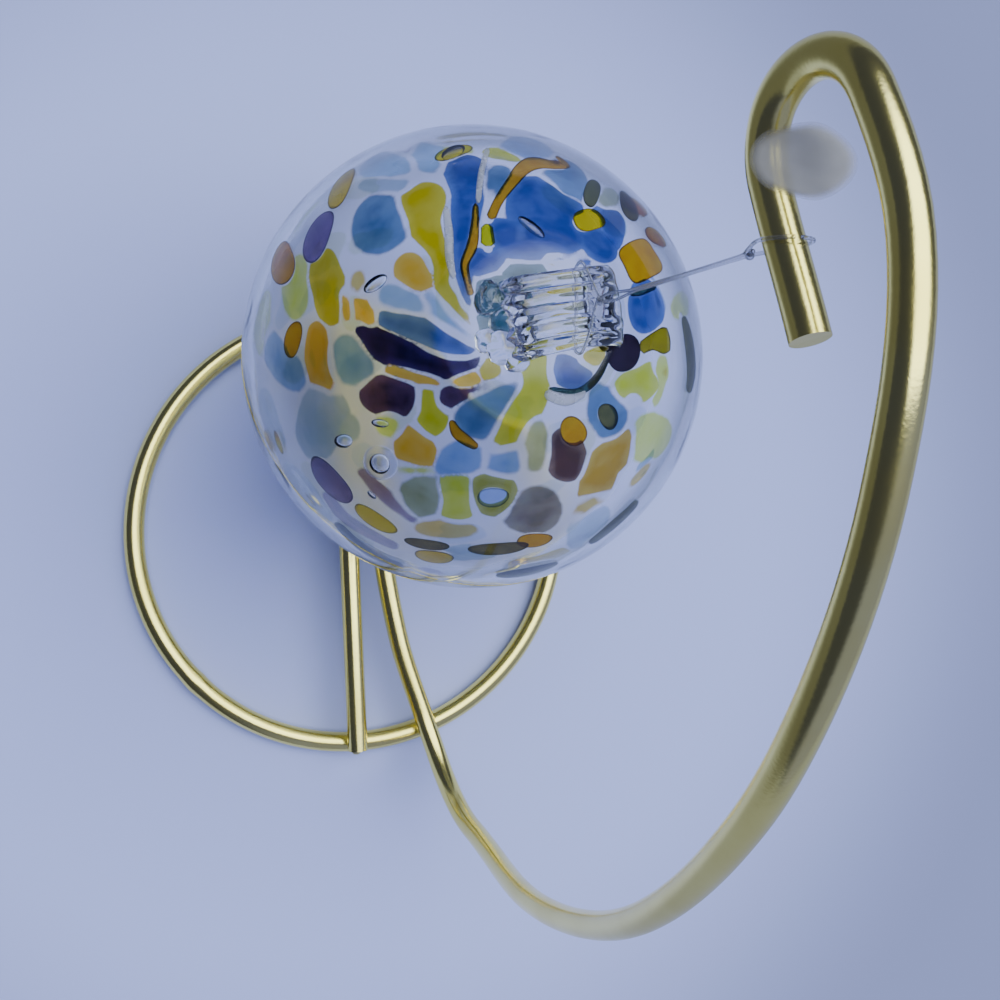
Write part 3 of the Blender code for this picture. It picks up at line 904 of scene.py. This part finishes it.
def bubble(azimuth, tip, half_long, half_wide, half_thick, turn):
    """Points and faces of a bubble's wall, facing into the bubble."""
    points, faces = ball_sphere(32, 18)
    lie = Matrix.Identity(3)
    for angle, axis in ((azimuth, "Z"), (tip, "Y"), (turn, "Z")):
        lie = lie @ Matrix.Rotation(math.radians(angle), 3, axis)
    size = Vector((half_long, half_wide, half_thick)) * MM
    depth = BUBBLE_DEPTH if half_thick > 0.2 else FLAT_BUBBLE_DEPTH
    centre = BALL + lie @ Vector((0, 0, BALL_RADIUS - depth * MM))
    points = [centre + lie @ (Vector(p) * size) for p in points]
    return np.array(points), inside_out(faces)


def sealed_chip(azimuth, tip, half_long, half_wide, turn, square=OVAL):
    """A lens of glass lying in the wall: its points, faces and distances from its outline in mm."""
    middle, along, across = lie_on_ball(azimuth, tip, turn)
    shares, around = (0.3, 0.55, 0.75, 0.87, 0.95), 48
    rows = [(share, 1) for share in (0.0, *shares, 1.0)]
    rows += [(share, -1) for share in (*reversed(shares), 0.0)]
    points, inside = [], []
    for share, side in rows:
        for angle in turns(around if share else 1):
            c, s = math.cos(angle), math.sin(angle)
            swell = (abs(c) ** square + abs(s) ** square) ** (-1 / square)
            swell *= 1 + 0.05 * math.sin(2 * angle + azimuth) + 0.03 * math.sin(3 * angle)
            spot = (middle * BALL_MM + along * share * swell * half_long * c
                    + across * share * swell * half_wide * s)
            height = side * SEALED_HALF_THICK * math.sqrt(max(0.0, 1 - share**4))
            spot *= (BALL_MM - SEALED_DEPTH + height) / np.linalg.norm(spot)
            points.append(spot)
            inside.append((1 - share) * half_wide)
    last = len(points) - 1
    faces = (zipped((0, 1), (1, around)) + inside_out(tube_faces(len(rows) - 2, around, first=1))
             + zipped((last - around, around), (last, 1)))
    return np.array(points), faces, inside


def sealed_thread(nodes):
    """A flattened thread of glass in the wall: points, faces and distances from its outline."""
    line = trail_line(nodes, per_span=7)
    around, last = 12, len(line) - 1
    points, inside = [], []
    for index, (place, width) in enumerate(line):
        before, after = line[max(index - 1, 0)][0], line[min(index + 1, last)][0]
        across = place.cross((after - before).normalized()).normalized()
        if index in (0, last):
            width *= 0.45
        thick = min(SEALED_HALF_THICK, 0.8 * width)
        for turn in turns(around):
            points.append(place * (BALL_MM - SEALED_DEPTH + thick * math.sin(turn))
                          + across * width * math.cos(turn))
            inside.append(width * (1 - abs(math.cos(turn))))
    faces = tube_faces(len(line), around) + end_faces(len(line), around)
    return np.array(points), inside_out(faces), inside


def make_sealed_pieces():
    """The chips and threads that were laid over the others, one mesh for each colour."""
    for colour, tint in SEALED_COLOURS.items():
        name = f"sealed_{colour}"
        shapes = [sealed_chip(*chip) for chip in SEALED_CHIPS.get(colour, ())]
        shapes += [sealed_thread(nodes) for nodes in SEALED_THREADS.get(colour, ())]
        points, faces = joined([shape[:2] for shape in shapes])
        mesh = mesh_of(name, np.array(BALL) + points * MM, faces)
        mark_points(mesh, "chip_edge", np.concatenate([shape[2] for shape in shapes]))
        piece = add(name, mesh, opal_glass() if colour == "milk" else sealed_glass(name, tint))
        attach(piece, "root")


def make_ball():
    """The hollow ball with its loop, as one body of glass: the skin, the cavity and the bubbles."""
    ways, faces = ball_sphere(*SKIN_STEPS)
    ripple = SKIN_RIPPLE * np.array([noise.noise(Vector(p) * 3.2) for p in ways])
    radii = BALL_RADIUS - SKIN_RIPPLE + GATHER_RISE * gather_share(ways, *GATHER_LIP) + ripple
    skin = mesh_of("skin", np.array(BALL) + ways * radii[:, None], faces)
    lumps = [foot_lump(index, *lump) for index, lump in enumerate(FOOT_LUMPS)]
    outside = fused(skin, [loop_strap(), *lumps])

    ways, faces = woven_sphere()
    edge, colours = chip_field(ways)
    low_half = ease(0.1, 0.5, -ways[:, 2])
    waves = np.array([noise.noise(Vector(p) * 9.0) for p in ways])
    depth = (WALL + GATHER_DEPTH * gather_share(ways, *GATHER_BELLY)
             + CHIP_RELIEF * ease(-0.1, 0.7, edge) + (0.02 + 0.05 * low_half) * MM * waves)
    cavity = np.array(BALL) + ways * (BALL_RADIUS - depth)[:, None], inside_out(faces)
    on_cavity = slice(len(outside[0]), len(outside[0]) + len(cavity[0]))
    cavity_faces = slice(len(outside[1]), len(outside[1]) + len(cavity[1]))

    points, faces = joined([outside, cavity, *[bubble(*place) for place in BUBBLES]])
    mesh = mesh_of("blown_ball", points, faces)
    mesh.set_sharp_from_angle(angle=math.radians(38))
    edges, mist = np.full(len(points), NO_CHIP), np.zeros(len(points))
    edges[on_cavity] = edge
    mist[on_cavity] = ease(0.05, 0.30, -ways[:, 2])
    mark_points(mesh, "chip_edge", edges)
    mark_points(mesh, "misted", mist)
    tints = np.ones((len(points), 4), np.float32)
    tints[on_cavity, :3] = colours
    tint = mesh.attributes.new("chip_tint", "FLOAT_COLOR", "POINT")
    tint.data.foreach_set("color", tints.ravel())

    ball = add("blown_ball", mesh, ball_glass("ball_glass", 0.75))
    mesh.materials.append(ball_glass("wall_glass", 0.10))  # the colour dims what the cavity mirrors
    finishes = np.zeros(len(faces), np.int32)
    finishes[cavity_faces] = 1
    mesh.polygons.foreach_set("material_index", finishes)
    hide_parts("glass_ball")
    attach(ball, "root")


# ---- the line and its tab ----------------------------------------------------
def line_route():
    """Down from the top of the hook, through the loop's eye, and back up."""
    crown = LOOP + UP * LOOP_RISE
    gap = GAP + LINE_RADIUS
    under = crown.z - STRAP_HALF_THICK - gap
    side = STRAP_HALF_WIDTH + gap + 0.2 * MM
    spread = WIRE + gap + 0.1 * MM
    tie = HOOK_POINT - UP * 7.5 * MM
    knot = crown + UP * (STRAP_HALF_THICK + KNOT_RISE)

    def strand(sign):
        """From the top of the hook down to the side of the strap."""
        round_hook = ((0.35 * MM, 1.04 * spread), (0.71 * spread, 0.75 * spread), (spread, 0),
                      (0.55 * spread, -4 * MM))
        through_eye = ((0.62 * side, crown.z + 3.6 * MM), (side, crown.z + 0.6 * MM),
                       (0.86 * side, under + 0.1 * MM), (0.45 * side, under))
        return ([HOOK_POINT + Vector((sign * x, 0, z)) for x, z in round_hook]
                + [place + Vector((sign * STRAND_APART, 0, 0))
                   for place in (tie, knot.lerp(tie, 0.3), knot)]
                + [Vector((crown.x, crown.y + sign * y, z)) for y, z in through_eye])

    return strand(-1) + strand(1)[::-1]


def make_line():
    """The thin line with its two knots, and the film tab beside the hook."""
    material = nylon()
    route = rounded(line_route(), 0.8 * MM)
    curve = bpy.data.curves.new("hang_line_run", "CURVE")
    curve.dimensions = "3D"
    curve.bevel_depth = LINE_RADIUS
    curve.bevel_resolution = 2
    curve.use_fill_caps = True
    spline = curve.splines.new("POLY")
    spline.points.add(len(route) - 1)
    for point, place in zip(spline.points, route):
        point.co = (*place, 1.0)
    line = add("hang_line_run", curve, material)
    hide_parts("hang_line")
    length = sum((b - a).length for a, b in zip(route, route[1:]))

    knots = []
    for name, place, size in (
            ("loop_knot", LOOP + UP * (LOOP_RISE + STRAP_HALF_THICK + KNOT_RISE), 0.42 * MM),
            ("hook_knot", HOOK_POINT - UP * 6.4 * MM, 0.34 * MM)):
        knots.append(add(name, knot_mesh(name, place, size), material))

    tab = make_tab()
    for piece in (line, *knots):
        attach(piece, "root")
    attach(tab, "root")


def knot_mesh(name, place, size):
    """An overhand knot pulled tight: a trefoil of line on itself."""
    route = [place + size * Vector(((math.sin(turn) + 2 * math.sin(2 * turn)) / 2.6,
                                    (math.cos(turn) - 2 * math.cos(2 * turn)) / 2.6,
                                    -math.sin(3 * turn) / 1.8))
             for turn in turns(90)]
    return sweep(name, route, [LINE_RADIUS] * len(route), 10, closed=True)


def make_tab():
    """The oval of frosted film: stuck down along the wire, and standing out into the hook with a
    thicker folded edge at its outer end."""
    wire = arm_route(1.0 * MM, math.radians(4))
    bend = max(range(len(wire)), key=lambda index: wire[index].y)
    tops = [before + WIRE * Vector((0, after.z - before.z, before.y - after.y)).normalized()
            for before, after in zip(wire[bend + 1:], wire[bend + 2:])]
    tops.sort(key=lambda top: top.y)
    top_places, top_sides, top_heights = zip(*[(top.y, top.x, top.z) for top in tops])
    lie = Matrix.Translation(TAB) @ Euler((0, math.radians(-4), 0)).to_matrix().to_4x4()
    from_rim = []

    def oval(spot):
        x, y, z = spot
        from_rim.append(1 - math.hypot(x, y))
        fold = max(0.0, x) ** 6
        spot = lie @ Vector((x * TAB_LENGTH / 2,
                             y * TAB_WIDTH / 2 * (1 + 0.04 * math.sin(5 * x)),
                             z * (0.28 + 0.25 * fold) * MM
                             + 0.12 * MM * noise.noise(Vector((x, y, 0)) * 2.2)))
        beside = abs(spot.x - np.interp(spot.y, top_places, top_sides))
        wire_top = np.interp(spot.y, top_places, top_heights)
        spot.z += (wire_top + 0.1 * MM - TAB.z) * (1 - ease(0.5 * MM, 6.0 * MM, beside))
        return spot

    mesh = shaped_ball("film_tab", 5, oval)
    mark_points(mesh, "from_rim", from_rim)
    tab = add("film_tab", mesh, film())
    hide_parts("line_tab")
    return tab


# ---- stage, light and camera -------------------------------------------------
FLOOR_REACH, FLOOR_DROP = 3.0, 0.2 * MM
CAMERA_PLACE = Vector((-46.3, 10.25, 257.5)) * MM  # from the ring's middle
CAMERA_TURN = Euler((math.radians(-0.93), math.radians(-16.7), 0.0))
CAMERA_LENS, CAMERA_SENSOR = 46.8, 36.0

# Each light's direction, its full and its outer turn from there in degrees, and its strength
PANEL_WAY, PANEL_SPREAD, PANEL_STRENGTH = (0.30, 0.20, 0.93), (30, 43), 4.8
GLOW_WAY, GLOW_SPREAD, GLOW_STRENGTH = (0.60, -0.72, 0.30), (38, 62), 0.48
PANEL_FRONT, FRONT_FADE = (0.0, 0.98, 0.19), (-0.12, 0.08)  # the panel's straight front edge
ROOM_STRENGTH = 0.13
ROOM_SHADE, PANEL_SHADE = (0.36, 0.43, 1.15), (0.82, 0.89, 1.0)


def make_stage():
    """A pale floor, soft light and the camera above the ball."""
    corners = [Vector((x * FLOOR_REACH, y * FLOOR_REACH, -FLOOR_DROP))
               for x, y in ((-1, -1), (1, -1), (1, 1), (-1, 1))]
    floor = add("floor", mesh_of("floor", corners, [(0, 1, 2, 3)]), floor_finish())

    studio_light()

    camera = bpy.data.objects.new("camera", bpy.data.cameras.new("camera"))
    bpy.context.scene.collection.objects.link(camera)
    camera.location = RING + CAMERA_PLACE
    camera.rotation_euler = CAMERA_TURN
    camera.data.lens = CAMERA_LENS
    camera.data.sensor_width = CAMERA_SENSOR
    camera.data.clip_start = 5 * MM
    bpy.context.scene.camera = camera


def studio_light():
    """A dim bluish room with a broad soft panel of light overhead and a dim glow from the side."""
    world = bpy.data.worlds.new("studio")
    bpy.context.scene.world = world
    world.use_nodes = True
    room = Nodes(world.node_tree)
    ways_out = room.node("ShaderNodeTexCoord", out=0)

    def around(middle, inner, outer):
        """1 within inner degrees of a direction, fading to 0 at outer."""
        nearness = room.vector("DOT_PRODUCT", ways_out, tuple(Vector(middle).normalized()), out=1)
        return nearness.ease(math.cos(math.radians(outer)), math.cos(math.radians(inner)))

    edge = room.vector("DOT_PRODUCT", ways_out, PANEL_FRONT, out=1)
    share = around(PANEL_WAY, *PANEL_SPREAD) * edge.ease(*FRONT_FADE)
    side = around(GLOW_WAY, *GLOW_SPREAD)
    background = world.node_tree.nodes["Background"]
    room.feed(background.inputs["Color"], room.mix(share, ROOM_SHADE, PANEL_SHADE))
    room.feed(background.inputs["Strength"],
              share * PANEL_STRENGTH + side * GLOW_STRENGTH + ROOM_STRENGTH)


def floor_finish():
    """A pale blue-grey floor with painted shade: it darkens away from the piece and towards -X."""
    finish = Finish("pale_floor", Roughness=0.9)
    cloud = finish.noise(3.0, detail=3)
    pale = finish.mix(cloud, (0.42, 0.475, 0.80), (0.46, 0.515, 0.85))
    place = finish.node("ShaderNodeTexCoord", out=3)
    away = finish.vector("LENGTH", place, out=1)
    # Painted shade: the floor goes dark grey-blue towards -X, and partly dark away from the piece.
    painted_left_shade = finish.vector("DOT_PRODUCT", place, (-0.95, 0.30, 0.0), out=1).ease(0.09, 0.20)
    shade = painted_left_shade + away.ease(0.085, 0.165, 0.0, 0.55) * (1 - painted_left_shade)
    return finish.drive(Base_Color=finish.mix(shade, pale, (0.085, 0.09, 0.12)))


make_stage()
make_line()
make_stand()
make_ball()
make_sealed_pieces()
